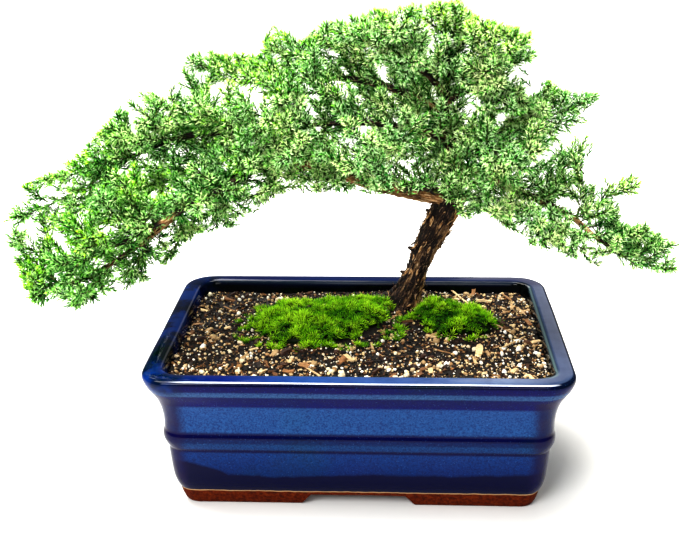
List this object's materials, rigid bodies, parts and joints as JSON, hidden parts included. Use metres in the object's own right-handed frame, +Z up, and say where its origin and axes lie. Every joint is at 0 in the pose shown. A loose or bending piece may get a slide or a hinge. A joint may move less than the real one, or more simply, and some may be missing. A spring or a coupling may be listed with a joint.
{
  "type": "juniper bonsai",
  "caption": "Dwarf juniper bonsai with a slanting trunk and a long sweeping left branch, in a glazed rectangular pot with soil and moss.",
  "frame": {"origin": "on the ground under the middle of the whole plant's box, so the pot's own middle lies 14 mm to the right of it and 11 mm to its front", "axes": "+X along the pot's long side to the right, +Y from the pot's front to its back, +Z up"},
  "size_m": [0.3268, 0.1566, 0.2334],
  "materials": {
    "glazed_pot": "glossy deep cobalt glaze with steel-blue mottling, bare red-brown clay on the feet",
    "drain_mesh": "dark plastic mesh",
    "soil": "moist peat and bark mix with white grains",
    "bark": "fibrous peeling orange-brown bark",
    "moss": "soft bright green tufts",
    "foliage": "waxy green needles with paler bands and yellow-green tips"
  },
  "bodies": {
    "root": {"pot": "glazed_pot", "drain_screen_left": "drain_mesh", "drain_screen_right": "drain_mesh", "soil": "soil", "trunk_and_branches": "bark", "moss_left": "moss", "moss_right": "moss", "spray_cascade_1": "foliage", "spray_cascade_2": "foliage", "spray_cascade_3": "foliage", "spray_cascade_4": "foliage", "spray_cascade_5": "foliage", "spray_cascade_6": "foliage", "spray_cascade_7": "foliage", "spray_cascade_8": "foliage", "spray_cascade_9": "foliage", "spray_cascade_10": "foliage", "spray_midLeft_1": "foliage", "spray_midLeft_2": "foliage", "spray_midLeft_3": "foliage", "spray_midLeft_4": "foliage", "spray_midLeft_5": "foliage", "spray_midLeft_6": "foliage", "spray_backLeft_1": "foliage", "spray_backLeft_2": "foliage", "spray_backLeft_3": "foliage", "spray_frontLeft_1": "foliage", "spray_frontLeft_2": "foliage", "spray_upperLeft_1": "foliage", "spray_upperLeft_2": "foliage", "spray_upperLeft_3": "foliage", "spray_upperLeft_4": "foliage", "spray_upperLeft_5": "foliage", "spray_midUpper_1": "foliage", "spray_midUpper_2": "foliage", "spray_midUpper_3": "foliage", "spray_midUpper_4": "foliage", "spray_crownLeft_1": "foliage", "spray_crownLeft_2": "foliage", "spray_leader_1": "foliage", "spray_leader_2": "foliage", "spray_crownRight_1": "foliage", "spray_crownRight_2": "foliage", "spray_crownRight_3": "foliage", "spray_crownBack_1": "foliage", "spray_crownBack_2": "foliage", "spray_rightUpper_1": "foliage", "spray_rightUpper_2": "foliage", "spray_rightUpper_3": "foliage", "spray_rightMid_1": "foliage", "spray_rightArm_1": "foliage", "spray_rightArm_2": "foliage", "spray_rightArm_3": "foliage", "spray_rightArm_4": "foliage", "spray_rightArm_5": "foliage", "spray_rightArm_6": "foliage", "spray_rightArm_7": "foliage", "spray_backArm_1": "foliage", "spray_frontArm_1": "foliage", "spray_frontArm_2": "foliage"}
  },
  "joints": []
}
